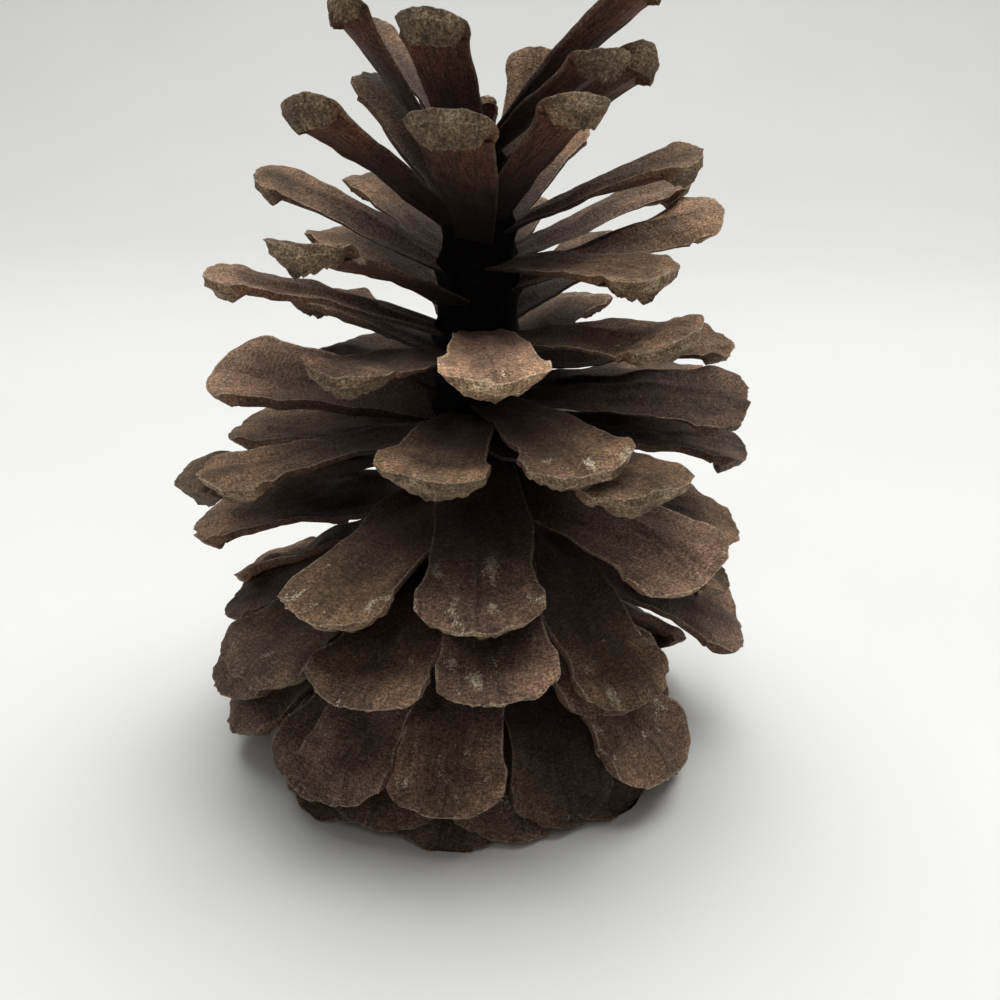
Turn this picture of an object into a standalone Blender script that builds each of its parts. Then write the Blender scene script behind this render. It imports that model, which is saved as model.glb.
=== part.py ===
"""An open, dry pine cone of the long-needled kind, grown as one piece.

Metres, +Z up. The cone stands on the tips of its lowest scales at Z = 0, with
its axis upright. Its scales leave the axis on one spiral, each turned by the
golden angle from the one below, and all of them are fused to the axis. The
front of the cone, as it is usually seen, faces -Y. Turns are measured from
the front, and grow towards +X.
"""

import math
import random

import bmesh
import bpy
from mathutils import Matrix, Vector

# The spiral: angles in degrees, numbers counted from the lowest full scale
GOLDEN_ANGLE = 137.508
FIRST_TURN = 184.0
SPIRAL_SCALES = 96
BASAL_SCALES = 8
TERMINAL_SCALES = 3
LOWEST_ROOT = 0.0260
ROOT_RISE = 0.1040
EVEN_SHARE_OF_RISE = 0.5

# The axis, as radius at height, with the stalk's cut end at the bottom
AXIS_X = 0.0018
AXIS_Y = 0.0009
AXIS_SIDES = 10
AXIS_PROFILE = (
    (0.0045, 0.0100),
    (0.0055, 0.0180),
    (0.0092, 0.0250),
    (0.0098, 0.0430),
    (0.0088, 0.0790),
    (0.0072, 0.1090),
    (0.0050, 0.1250),
    (0.0022, 0.1310),
)

# How the scales change up the axis: root height, tilt in degrees, length, width
ROOT_RADIUS = 0.0083
TERMINAL_RADIUS = 0.0035
SUNK_TO_RADIUS = 0.0026
DEEPEST_SINKING = 0.0140
GROWTH = (
    (0.0190, -50.0, 0.0240, 0.0130),
    (0.0260, -39.0, 0.0430, 0.0220),
    (0.0310, -38.0, 0.0490, 0.0250),
    (0.0420, -34.0, 0.0570, 0.0260),
    (0.0575, -17.0, 0.0555, 0.0245),
    (0.0790, 3.0, 0.0495, 0.0215),
    (0.1010, 20.0, 0.0410, 0.0182),
    (0.1145, 40.0, 0.0360, 0.0145),
    (0.1220, 56.0, 0.0345, 0.0126),
    (0.1300, 70.0, 0.0300, 0.0114),
    (0.1310, 76.0, 0.0075, 0.0060),
    (0.1350, 84.0, 0.0065, 0.0050),
)

# The lowest tips press on the surface and are flattened by this much
PRESSED = 0.0004

# Scales that stray from the spiral, by number: degrees swung, tilted and rolled,
# metres raised, and the share of its usual length that a scale has
BROKEN_OFF = (62, 93)
SWUNG = {
    -20: (25, 48, 54, 65),
    -16: (9, 45, 86, 87),
    -14: (17,),
    -11: (35, 36, 51, 56, 69, 79),
    -7: (1, 28, 32, 46, 57, 63, 66, 90, 95),
    -3: (4, 49, 64),
    0: (12, 14, 15, 53, 59, 61, 67, 70, 72, 74),
    5: (20, 30, 31, 38, 40, 43, 44, 77, 78, 82),
    8: (22, 41, 60, 75, 80, 81, 83, 94),
    12: (33, 52, 92),
    15: (7, 85, 89, 91),
    20: (88,),
}
TILTED = {
    -26: (90, 94, 95),
    -20: (30, 43),
    -17: (77,),
    -13: (6, 11, 19, 27, 35, 72),
    -10: (51, 81, 82),
    -6: (36, 40, 41, 45, 64, 66, 79, 84, 87),
    -4: (25,),
    -2: (22, 32, 53, 60, 61, 67, 69, 91),
    2: (28, 38, 44, 48, 52, 59, 63, 70, 74, 75, 78, 83, 86, 88, 92),
    6: (15, 17, 31, 49, 56, 57),
    10: (33, 80),
}
ROLLED = {
    -30: (87, 95),
    -16: (44, 57),
    -9: (52, 70, 78),
    9: (45, 48, 53, 54, 66, 69, 74, 77, 79, 82),
    16: (61, 83, 91),
    24: (32,),
}
RAISED = {
    -0.006: (64,),
    -0.004: (30, 44, 56, 92, 96, 97, 98),
    -0.002: (48, 51, 52, 59, 61, 66, 72, 81),
    0.002: (22, 33, 38, 78, 79, 85, 94),
    0.004: (74, 77, 82, 83, 91, 95),
    0.006: (80, 88),
    0.008: (87, 90),
}
LENGTHENED = {
    0.85: (6, 11, 19, 27, 35, 60, 92),
    0.92: (40, 87, 90),
    0.97: (17, 53, 61, 67),
    1.03: (49,),
    1.07: (1, 4, 7, 15, 32, 41, 44, 70, 75, 94),
    1.2: (95,),
}
NARROWED = {
    0.88: (17, 25, 30, 33, 38, 43, 46, 59, 67, 85),
    0.94: (80, 88),
}
JITTER_SEED = 12
TURN_JITTER = 5.0
TILT_JITTER = 3.0
ROLL_JITTER = 6.0
LENGTH_JITTER = 0.03

# One scale's body: station along it, half width there as a share, and thickness.
# Thickness is for a scale of full width, and a narrower one is thinner to match
BODY_STATIONS = (
    (0.00, 0.38, 0.0024),
    (0.58, 0.84, 0.0024),
)
ARCH = 0.025
CUP = 0.05
UPPER_PLACES = (-1.0, -0.5, 0.0, 0.5, 1.0)
LOWER_PLACES = (0.6, 0.0, -0.6)
UNDERSIDE_FADE = 0.5
FULL_WIDTH = 0.0220

# One scale's head: a round tip, and a swollen outer face that slopes back to a lip
EAR_SETBACK = 0.98
EAR_THICKNESS = 0.0036
TIP_DEPTH = 0.55
TIP_SWEEP = 80.0
LIP_SETBACK = 0.0060
LIP_STEP = 0.0018
LIP_THICKNESS = 0.0050
LIP_BOW = 0.25
LIP_FADE = 0.80

SURFACE_BLOCK = 0.4

WOOD_BROWN = (0.105, 0.058, 0.036, 1.0)
WOOD_ROUGHNESS = 0.8


def clear_scene():
    for item in list(bpy.data.objects):
        bpy.data.objects.remove(item, do_unlink=True)


def wood():
    material = bpy.data.materials.new("wood")
    material.use_nodes = True
    shader = material.node_tree.nodes["Principled BSDF"]
    shader.inputs["Base Color"].default_value = WOOD_BROWN
    shader.inputs["Roughness"].default_value = WOOD_ROUGHNESS
    shader.inputs["Metallic"].default_value = 0.0
    return material


def stray(table, number, usual):
    """What the table says of this scale, or the usual value."""
    for amount, numbers in table.items():
        if number in numbers:
            return amount
    return usual


def growth_at(height):
    """Tilt, length and width of the scale whose root is at this height."""
    if height <= GROWTH[0][0]:
        return GROWTH[0][1:]
    for low, high in zip(GROWTH, GROWTH[1:]):
        if height <= high[0]:
            share = (height - low[0]) / (high[0] - low[0])
            return tuple(a + share * (b - a) for a, b in zip(low[1:], high[1:]))
    return GROWTH[-1][1:]


def spiral():
    """Each scale's turn, root height and radius, tilt, roll, length and width, from the base up."""
    draw = random.Random(JITTER_SEED)
    settled = {number for numbers in SWUNG.values() for number in numbers}
    scales = []
    for number in range(-BASAL_SCALES, SPIRAL_SCALES + TERMINAL_SCALES):
        share = number / (SPIRAL_SCALES - 1)
        rise = EVEN_SHARE_OF_RISE * share + (1 - EVEN_SHARE_OF_RISE) * share * abs(share)
        height = LOWEST_ROOT + ROOT_RISE * rise
        tilt, length, width = growth_at(height)
        freedom = 0.0 if number in settled else 1.0
        turn = FIRST_TURN - GOLDEN_ANGLE * number
        turn += freedom * draw.uniform(-TURN_JITTER, TURN_JITTER) + stray(SWUNG, number, 0.0)
        tilt += freedom * draw.uniform(-TILT_JITTER, TILT_JITTER) + stray(TILTED, number, 0.0)
        roll = draw.uniform(-ROLL_JITTER, ROLL_JITTER) + stray(ROLLED, number, 0.0)
        length *= 1 + freedom * draw.uniform(-LENGTH_JITTER, LENGTH_JITTER)
        length *= stray(LENGTHENED, number, 1.0)
        width *= stray(NARROWED, number, 1.0)
        height += stray(RAISED, number, 0.0)
        reach_to_surface = math.asin(min((height + PRESSED) / length, 1.0))
        tilt = max(tilt, -math.degrees(reach_to_surface))
        radius = ROOT_RADIUS if number < SPIRAL_SCALES else TERMINAL_RADIUS
        if number not in BROKEN_OFF:
            scales.append((turn, height, radius, tilt, roll, length, width))
    return scales


def sinking(tilt):
    """How far a scale runs on inwards from its root to reach deep into the axis."""
    return min((ROOT_RADIUS - SUNK_TO_RADIUS) / math.cos(math.radians(tilt)), DEEPEST_SINKING)


def body_ring(along, side, arch, lift, thickness):
    """One ring across the body: a shallow trough above, a rounded keel below."""
    ring = []
    for place in UPPER_PLACES:
        ring.append(Vector((place * side, along, arch + lift * place * place)))
    for place in LOWER_PLACES:
        depth = thickness * (1 - UNDERSIDE_FADE * place * place)
        ring.append(Vector((place * side, along, arch - depth)))
    return ring


def head_rings(length, half, stout):
    """The ring at the ears, where the underside steps down to the lip, and the tip."""
    ears = body_ring(length - EAR_SETBACK * half, half, 0.0, CUP * half, EAR_THICKNESS * stout)
    tip = []
    for place in UPPER_PLACES:
        sweep = math.radians(TIP_SWEEP * place)
        along = length - TIP_DEPTH * half * (1 - math.cos(sweep))
        tip.append(Vector((half * math.sin(sweep), along, CUP * half * place * place)))
    for index, place in enumerate(LOWER_PLACES):
        along = length - LIP_SETBACK * stout - LIP_BOW * half * place * place
        depth = LIP_THICKNESS * stout * (1 - LIP_FADE * place * place)
        tip.append(Vector((place * half, along, -depth)))
        ears[len(UPPER_PLACES) + index].y = along - LIP_STEP * stout
    return [ears, tip]


def scale_rings(length, width, sunk):
    """Rings of points round one scale, root to tip: X across, Y along, Z up."""
    half = width / 2
    stout = width / FULL_WIDTH
    rings = []
    for station, spread, thickness in BODY_STATIONS:
        along = station * (length + sunk) - sunk
        arch = ARCH * length * 4 * station * (1 - station)
        side = spread * half
        rings.append(body_ring(along, side, arch, CUP * side * station, thickness * stout))
    return rings + head_rings(length, half, stout)


def scale_mesh(rings):
    """A closed mesh over the rings, split into triangles."""
    mesh = bpy.data.meshes.new("scale")
    bm = bmesh.new()
    rows = [[bm.verts.new(point) for point in ring] for ring in rings]
    count = len(rows[0])
    for near, far in zip(rows, rows[1:]):
        for index in range(count):
            after = (index + 1) % count
            bm.faces.new((near[index], near[after], far[after], far[index]))
    bm.faces.new(reversed(rows[0]))
    left, upper_left, top, upper_right, right, low_right, low, low_left = rows[-1]
    bm.faces.new((left, upper_left, low_left))
    bm.faces.new((upper_left, top, low, low_left))
    bm.faces.new((top, upper_right, low_right, low))
    bm.faces.new((upper_right, right, low_right))
    bmesh.ops.triangulate(bm, faces=bm.faces)
    bmesh.ops.recalc_face_normals(bm, faces=bm.faces)
    bm.to_mesh(mesh)
    bm.free()
    return mesh


def scale_matrix(turn, height, radius, tilt, roll):
    """Places a scale: its tip points outwards at this turn, tilted up or down."""
    place = Matrix.Translation((AXIS_X, AXIS_Y, height))
    swing = Matrix.Rotation(math.radians(turn + 180), 4, "Z")
    out = Matrix.Translation((0, radius, 0))
    lift = Matrix.Rotation(math.radians(tilt), 4, "X")
    twist = Matrix.Rotation(math.radians(roll), 4, "Y")
    return place @ swing @ out @ lift @ twist


def add_scales(collection):
    """Makes every scale as an object of its own, for the union."""
    for turn, height, radius, tilt, roll, length, width in spiral():
        mesh = scale_mesh(scale_rings(length, width, sinking(tilt)))
        mesh.transform(scale_matrix(turn, height, radius, tilt, roll))
        collection.objects.link(bpy.data.objects.new("scale", mesh))


def axis():
    """The woody axis that carries the scales, with the stub of the stalk below."""
    bm = bmesh.new()
    rows = []
    for radius, height in AXIS_PROFILE:
        ring = bmesh.ops.create_circle(bm, segments=AXIS_SIDES, radius=radius)["verts"]
        bmesh.ops.translate(bm, verts=ring, vec=(AXIS_X, AXIS_Y, height))
        rows.append(ring)
    for low, high in zip(rows, rows[1:]):
        for index in range(AXIS_SIDES):
            after = (index + 1) % AXIS_SIDES
            bm.faces.new((low[index], low[after], high[after], high[index]))
    bm.faces.new(reversed(rows[0]))
    bm.faces.new(rows[-1])
    bmesh.ops.triangulate(bm, faces=bm.faces)
    bmesh.ops.recalc_face_normals(bm, faces=bm.faces)
    mesh = bpy.data.meshes.new("pine_cone")
    bm.to_mesh(mesh)
    bm.free()
    cone = bpy.data.objects.new("pine_cone", mesh)
    bpy.context.scene.collection.objects.link(cone)
    return cone


def surface_block():
    """A block with its top at Z = 0, which trims the lowest tips flat."""
    bm = bmesh.new()
    bmesh.ops.create_cube(bm, size=SURFACE_BLOCK)
    bmesh.ops.translate(bm, verts=bm.verts, vec=(0, 0, -SURFACE_BLOCK / 2))
    mesh = bpy.data.meshes.new("surface_block")
    bm.to_mesh(mesh)
    bm.free()
    block = bpy.data.objects.new("surface_block", mesh)
    bpy.context.scene.collection.objects.link(block)
    block.hide_render = True
    block.display_type = "WIRE"
    return block


def apply_modifiers(item):
    """Bakes the modifiers into the object's own mesh."""
    graph = bpy.context.evaluated_depsgraph_get()
    baked = bpy.data.meshes.new_from_object(item.evaluated_get(graph))
    item.modifiers.clear()
    item.data = baked


def fuse(item, collection):
    """Joins the scales to the axis in one body, and removes their objects."""
    union = item.modifiers.new("fuse", "BOOLEAN")
    union.operation = "UNION"
    union.operand_type = "COLLECTION"
    union.collection = collection
    union.solver = "EXACT"
    union.use_self = True
    apply_modifiers(item)
    for scale in list(collection.objects):
        bpy.data.objects.remove(scale, do_unlink=True)
    bpy.data.collections.remove(collection)


def trim(item, block):
    """Cuts away what reaches into the block."""
    cut = item.modifiers.new("trim", "BOOLEAN")
    cut.operation = "DIFFERENCE"
    cut.object = block
    cut.solver = "EXACT"
    apply_modifiers(item)
    bpy.data.objects.remove(block, do_unlink=True)


def keep_largest_body(item):
    """Drops loose scraps, and the skins of hollows that the fusing sealed."""
    bm = bmesh.new()
    bm.from_mesh(item.data)
    bodies = []
    waiting = set(bm.verts)
    while waiting:
        body = set()
        edge_of_body = [waiting.pop()]
        while edge_of_body:
            vert = edge_of_body.pop()
            body.add(vert)
            for edge in vert.link_edges:
                other = edge.other_vert(vert)
                if other in waiting:
                    waiting.remove(other)
                    edge_of_body.append(other)
        bodies.append(body)
    bodies.sort(key=len)
    for body in bodies[:-1]:
        bmesh.ops.delete(bm, geom=list(body), context="VERTS")
    bmesh.ops.triangulate(bm, faces=bm.faces)
    bm.to_mesh(item.data)
    bm.free()


def pine_cone():
    collection = bpy.data.collections.new("scales")
    bpy.context.scene.collection.children.link(collection)
    cone = axis()
    add_scales(collection)
    fuse(cone, collection)
    trim(cone, surface_block())
    keep_largest_body(cone)
    cone.data.materials.clear()
    cone.data.materials.append(wood())


clear_scene()
pine_cone()
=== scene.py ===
"""An open, dry pine cone of the long-needled kind, dressed for its picture.

Metres, +Z up. The cone stands on the tips of its lowest scales at Z = 0, with
its axis upright and its front towards -Y. Turns are measured from the front
and grow towards +X.
"""

import math
import random

import bpy
import numpy as np
from mathutils import Matrix, Vector, noise


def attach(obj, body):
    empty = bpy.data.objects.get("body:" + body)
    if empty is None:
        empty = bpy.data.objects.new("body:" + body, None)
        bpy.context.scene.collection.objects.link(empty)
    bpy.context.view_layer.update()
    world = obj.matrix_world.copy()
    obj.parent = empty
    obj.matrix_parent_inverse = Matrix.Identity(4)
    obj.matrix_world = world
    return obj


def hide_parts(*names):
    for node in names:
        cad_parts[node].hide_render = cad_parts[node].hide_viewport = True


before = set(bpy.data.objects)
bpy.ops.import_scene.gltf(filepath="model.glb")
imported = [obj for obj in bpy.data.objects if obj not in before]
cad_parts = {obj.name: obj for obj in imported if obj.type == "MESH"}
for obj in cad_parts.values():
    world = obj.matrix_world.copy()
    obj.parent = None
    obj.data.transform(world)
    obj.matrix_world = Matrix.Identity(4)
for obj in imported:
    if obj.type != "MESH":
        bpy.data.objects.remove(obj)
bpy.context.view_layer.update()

# The spiral: angles in degrees, numbers counted from the lowest full scale
GOLDEN_ANGLE = 137.508
FIRST_TURN = 184.0
SPIRAL_SCALES = 96
BASAL_SCALES = 8
TERMINAL_SCALES = 3
LOWEST_ROOT = 0.0260
ROOT_RISE = 0.1040
EVEN_SHARE_OF_RISE = 0.5

# The axis: where it stands, and its radius at each height from the stalk's cut end up
AXIS_X = 0.0018
AXIS_Y = 0.0009
AXIS_PROFILE = (
    (0.0100, 0.0045),
    (0.0180, 0.0055),
    (0.0250, 0.0092),
    (0.0430, 0.0098),
    (0.0790, 0.0088),
    (0.1090, 0.0072),
    (0.1250, 0.0050),
    (0.1310, 0.0022),
)
AXIS_SIDES = 48
AXIS_ROWS = 60
AXIS_ROUGHNESS = 0.08
AXIS_BUMPS_ROUND = 3
AXIS_BUMPS_UP = 150

# The cushions on the axis that the scales grow from: degrees wide, metres high and
# proud, and how far their middles lie below the roots
CUSHION_TURN = 16.0
CUSHION_RISE = 0.0020
CUSHION_SWELL = 0.0016
CUSHION_DROP = 0.0010

# Where the scales are rooted, how far they run on into the axis, and how far the
# lowest tips would reach below Z = 0 if they weren't worn flat
ROOT_RADIUS = 0.0083
TERMINAL_RADIUS = 0.0035
SUNK_TO_RADIUS = 0.0026
DEEPEST_SINKING = 0.0140
PRESSED = 0.0004

# How the scales change up the axis: root height, tilt in degrees, length, width
GROWTH = (
    (0.0190, -50.0, 0.0240, 0.0130),
    (0.0260, -39.0, 0.0430, 0.0220),
    (0.0310, -38.0, 0.0490, 0.0250),
    (0.0420, -34.0, 0.0570, 0.0260),
    (0.0575, -17.0, 0.0555, 0.0245),
    (0.0790, 3.0, 0.0495, 0.0215),
    (0.1010, 20.0, 0.0410, 0.0182),
    (0.1145, 40.0, 0.0360, 0.0145),
    (0.1220, 56.0, 0.0345, 0.0126),
    (0.1300, 70.0, 0.0300, 0.0114),
    (0.1310, 76.0, 0.0075, 0.0060),
    (0.1350, 84.0, 0.0065, 0.0050),
)

# Scales that stray from the spiral, by number: degrees swung, tilted and rolled,
# metres raised, and the share of its usual length or width that a scale has
BROKEN_OFF = (62, 93)
SWUNG = {
    -20: (25, 48, 54, 65),
    -16: (9, 45, 86, 87),
    -14: (17,),
    -11: (35, 36, 51, 56, 69, 79),
    -7: (1, 28, 32, 46, 57, 63, 66, 90, 95),
    -3: (4, 49, 64),
    0: (12, 14, 15, 53, 59, 61, 67, 70, 72, 74),
    5: (20, 30, 31, 38, 40, 43, 44, 77, 78, 82),
    8: (22, 41, 60, 75, 80, 81, 83, 94),
    12: (33, 52, 92),
    15: (7, 85, 89, 91),
    20: (88,),
}
TILTED = {
    -26: (90, 94, 95),
    -20: (30, 43),
    -17: (77,),
    -13: (6, 11, 19, 27, 35, 72),
    -10: (51, 81, 82),
    -6: (36, 40, 41, 45, 64, 66, 79, 84, 87),
    -4: (25,),
    -2: (22, 32, 53, 60, 61, 67, 69, 91),
    2: (28, 38, 44, 48, 52, 59, 63, 70, 74, 75, 78, 83, 86, 88, 92),
    6: (15, 17, 31, 49, 56, 57),
    10: (33, 80),
}
ROLLED = {
    -30: (87, 95),
    -16: (44, 57),
    -9: (52, 70, 78),
    9: (45, 48, 53, 54, 66, 69, 74, 77, 79, 82),
    16: (61, 83, 91),
    24: (32,),
}
RAISED = {
    -0.006: (64,),
    -0.004: (30, 44, 56, 92, 96, 97, 98),
    -0.002: (48, 51, 52, 59, 61, 66, 72, 81),
    0.002: (22, 33, 38, 78, 79, 85, 94),
    0.004: (74, 77, 82, 83, 91, 95),
    0.006: (80, 88),
    0.008: (87, 90),
}
LENGTHENED = {
    0.85: (6, 11, 19, 27, 35, 60, 92),
    0.92: (40, 87, 90),
    0.97: (17, 53, 61, 67),
    1.03: (49,),
    1.07: (1, 4, 7, 15, 32, 41, 44, 70, 75, 94),
    1.2: (95,),
}
NARROWED = {
    0.88: (17, 25, 30, 33, 38, 43, 46, 59, 67, 85),
    0.94: (80, 88),
}
JITTER_SEED = 12
TURN_JITTER = 5.0
TILT_JITTER = 3.0
ROLL_JITTER = 6.0
LENGTH_JITTER = 0.03

# Which heads are broad, plain and pinched: fully so at these numbers, changing between them
ALL_BROAD = 50
ALL_PLAIN = 62
ALL_PINCHED = 76

# One scale's body: arch along it, trough across it, its thickness and its share of
# the half width along it, how the side edges waver, and how much narrower it is beneath
ARCH = 0.025
CUP = 0.05
FULL_WIDTH = 0.0220
SMALL_WIDTH = 0.0100
THICKNESS = ((0.0, 0.0024), (0.3, 0.0022), (0.55, 0.0026), (0.8, 0.0034), (1.0, 0.0040))
TAPERED = ((0.0, 0.38), (0.35, 0.58), (0.70, 0.76), (0.87, 0.82), (0.95, 0.89), (1.0, 1.0))
PARALLEL = ((0.0, 0.42), (0.2, 0.62), (0.45, 0.79), (0.72, 0.83), (0.87, 0.84), (0.95, 0.89), (1.0, 1.0))
SIDE_WAVER = 0.08
WAVER_PLACE = 0.6
WAVER_REACH = 0.4
SIDE_BULGE = 0.00025
WIDTH_BENEATH = 0.97
EDGE_THINNING = 0.62
ROUND_THINNING = 0.4

# One scale's head: a round tip, and a swollen outer face that slopes back to a lip
EAR_SETBACK = 0.98
TIP_DEPTH = 0.4543
TIP_DEPTH_JITTER = 0.16
TIP_SWEEP = 60.0
TIP_UNEVEN = 0.15
TIP_RELIEF = 0.4
SQUARE_DRAW = (0.90, 1.25)
HEAD_SWELL = 0.0006
LIP_START = 0.58
LIP_CURVE = 0.6
LIP_SETBACK = 0.0060
LIP_STEP = 0.0018
LIP_THICKNESS = 0.0050
LEAST_LIP = 0.0007
LIP_BOW = 0.25
LIP_FADE = (0.80, 0.50)
LIP_FADE_CURVE = 2.4
LIP_WIDTH = (0.97, 0.66)
FOOT_RISE = 0.0002

# The outer face: its swell, the keel across it, the umbo and its prickle
OUTER_FACE_SWELL = 0.0007
OUTER_FACE_SLOPE = 0.7
BROAD_FLATNESS = 0.75
KEEL_PLACE = 0.30
KEEL_REACH = 0.20
KEEL_HEIGHT = 0.0006
KEEL_LINE = 0.10
KEEL_PALENESS = 0.75
UMBO_PLACE = 0.78
UMBO_HEIGHT = 0.0006
UMBO_WIDTH = 0.13
UMBO_LENGTH = 0.15
UMBO_MARK_WIDTH = 0.20
UMBO_MARK_LENGTH = 0.28
PRICKLE = 0.0004
PRICKLE_WIDTH = 0.05

# How finely a scale is divided: across it, down its side edge, along body and head
CELLS_ACROSS = 36
CELLS_DOWN = 10
BODY_RINGS = 30
HEAD_STEPS = (0.12, 0.26, 0.42, 0.58, 0.72, 0.83, 0.91, 0.96, 1.0)
POINTS_ACROSS = CELLS_ACROSS + 1
POINTS_AROUND = 2 * POINTS_ACROSS + 2 * (CELLS_DOWN - 1)
FIRST_BENEATH = POINTS_ACROSS + CELLS_DOWN - 1
LAST_BENEATH = FIRST_BENEATH + POINTS_ACROSS - 1
RINGS = BODY_RINGS + 1 + len(HEAD_STEPS)
SHARP_ANGLE = 42

# Relief of the upper face, for a scale of full width: a fold along it, a ridge on
# the fold, and two seed imprints
FOLD_JITTER = 0.0006
FOLD_DRAW = (-0.7, 1.0)
FOLD_ASIDE = 0.25
FOLD_START = (0.08, 0.35)
FOLD_SOFTNESS = 0.002
FOLD_LEVEL = 0.45
FOLDED = {
    0.0026: (57,),
    0.0016: (59, 80, 95),
    0.0010: (14, 20, 33, 52, 60, 72, 86, 88),
    -0.0010: (48, 61, 66, 69, 78),
    -0.0016: (63, 74, 79),
}
LOW_RIDGE = 0.0004
RIDGE_HALF_WIDTH = 0.17
RIDGE_END = (0.70, 0.95)
RIDGED = {
    0.0011: (61, 64, 69, 70, 74, 77, 78, 82),
    0.0007: (43, 45, 48, 49, 53, 54, 66),
}
IMPRINT_DEPTH = 0.0006
IMPRINT_ASIDE = 0.5
IMPRINT_WIDTH = 0.22
IMPRINT_ALONG = 0.40
IMPRINT_LENGTH = 0.28

# How ragged, bent and uneven a scale is
JAG = 0.0021
JAG_DRAW = (0.6, 1.2)
BROAD_JAG = 0.4
LIP_JAG_LOSS = 0.6
FACE_JAG = 0.2
FACE_PITCH = 0.12
WARP = 0.0015
WARP_START = (0.1, 0.4)
TWIST_JITTER = 7.0
TWIST_CENTRE = 0.75
BEND_JITTER = 0.0012

# Smooth random waves: a step to the seed, then pitch or number, and strength
SIDE_WAVES = ((0, 4, 1.4), (3, 16, 0.5))
TIP_WAVES = ((0, 0.35, 0.50), (50, 0.13, 0.25), (70, 0.055, 0.12))
LIP_WAVES = ((90, 0.20, 0.4), (95, 0.07, 0.3))
FACE_WAVES_STEP = 20
WARP_WAVES = ((0, 130, 90, 1.0), (9, 420, 300, 0.3))
SHAPE_SEED = 1000
SEED_STEP = 7.31
GRAIN_STEP = 0.1

# The pieces from the base up: name, number of the first scale, number after the last
TIERS = (
    ("scales_base", -BASAL_SCALES, 14),
    ("scales_low", 14, 35),
    ("scales_middle", 35, 56),
    ("scales_high", 56, 77),
    ("scales_crown", 77, SPIRAL_SCALES + TERMINAL_SCALES),
)

# How much of the underside's colour the side edges take, and how strong the painted
# highlight on a scale's rim is beside its very edge and just before the tip
SIDE_BENEATH = 0.6
RIM_BESIDE = 0.45
RIM_BEFORE_TIP = 0.25

# How dusty a scale's end is, from 0 to 1; the share of it next to the root that is painted deep
# red to black, partly the wood's own colour and partly painted shade from the scales above; and
# how warm its wood is and how pale it is, that paleness partly its own tone and partly painted light and
# shade
DUSTY = {
    1.0: (9, 38, 51, 64),
    0.8: (17, 22, 41, 43, 46),
    0.6: (14, 33, 72, 69, 75),
}
MOST_DUSTY = 0.35
HIDDEN = {
    0.42: (30, 38, 43, 44, 51, 67),
    0.36: (33, 46, 54),
    0.28: (17, 56, 57, 59, 64),
    0.0: (72, 92),
}
MOST_HIDDEN = 0.45
LEAST_HIDDEN = 0.08
LESS_HIDDEN_PER_SCALE = 0.0048
# How pale each scale is: partly its own tone, partly painted light and shade, as on scale 72, lifted
# where the crown shades it
TONE_AND_PAINTED_LIGHT = {
    0.45: (30,),
    0.58: (36, 41, 49, 53, 60, 61),
    0.82: (12, 28, 43, 80, 86, 88),
    0.95: (33, 44, 59, 66, 78, 83, 91),
    1.15: (22, 25, 38, 46, 51, 54, 64, 69, 77),
    1.45: (17, 31, 48, 57, 70, 74),
    2.20: (72,),
}
TONE_DRAW = (0.85, 1.12)
# The lowest scales darker: partly their own darker wood, partly painted shade against the light bounced
# up from the surface
LOWEST_TONE_AND_SHADE = 0.55
LOW_SCALES = 16
WARMTH_JITTER = 0.45
WARMER_UPWARDS = 1.3

# Colours, linear
UPPER_WARM = (0.208, 0.127, 0.073)
UPPER_COOL = (0.180, 0.108, 0.076)
# Deep red and, towards the root, near black: partly the wood's own colour where it was enclosed, partly
# painted shade from the scales above
DEEP_RED_AND_SHADE = (0.062, 0.034, 0.026)
OUTER_TAN = (0.275, 0.187, 0.110)
OUTER_BROWN = (0.140, 0.087, 0.050)
UNDER_RED = (0.094, 0.036, 0.018)
# Near black: partly the axis's own dark wood, partly painted shade deep among the scales
CORE_BLACK_AND_SHADE = (0.007, 0.005, 0.004)
# Painted highlight along the rims, and also the pale of worn edges
RIM_HIGHLIGHT_AND_WEAR = (0.400, 0.310, 0.215)
DUST_PALE = (0.560, 0.480, 0.350)
SURFACE_GREY = (0.79, 0.80, 0.79)
ROOM_COLOUR = (0.95, 0.98, 1.0, 1.0)

# The camera: millimetres of lens, degrees down
CAMERA_PLACE = (0.0018, -0.2390, 0.1463)
CAMERA_PITCH = 20.84
CAMERA_LENS = 43.2
CAMERA_SHIFT = 0.022
CAMERA_NEAREST = 0.01

# The surface, a hair below the cone: places along it, the curve behind, the wall
SURFACE_DROP = 0.0002
SURFACE_PLACES = (-1.6, -0.5, 0.0, 0.9)
SURFACE_CURVE = 0.5
CURVE_STEPS = 24
WALL_HEIGHT = 1.6
SURFACE_HALF_WIDTH = 2.5

# The lights: name, place, what it points at, size, watts, colour
LIGHTS = (
    ("overhead", (0.16, 0.38, 2.10), (0.0, 0.1, 0.0), 2.6, 66.0, (1.0, 0.99, 0.97)),
    ("front", (-0.10, -1.30, 1.30), (0.0, 0.0, 0.05), 1.0, 3.2, (1.0, 0.98, 0.96)),
)
ROOM_LIGHT = 0.09


def stray(table, number, usual):
    """What the table says of this scale, or the usual value."""
    for amount, numbers in table.items():
        if number in numbers:
            return amount
    return usual


def held(value, low=0.0, high=1.0):
    """The value, held between the two limits."""
    return min(max(value, low), high)


def between(pair, share):
    """The value this share of the way from the pair's first to its second."""
    return pair[0] + share * (pair[1] - pair[0])


def bell(value, middle, spread):
    """From 1 at the middle down to 0 on both sides."""
    return np.exp(-(((value - middle) / spread) ** 2))


def peak(value, middle, reach):
    """From 1 at the middle straight down to 0 at the reach on both sides."""
    return max(0.0, 1 - abs(value - middle) / reach)


def smooth_step(value, start, end):
    """From 0 at the start up to 1 at the end."""
    share = np.clip((value - start) / (end - start), 0.0, 1.0)
    return share * share * (3 - 2 * share)


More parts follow.
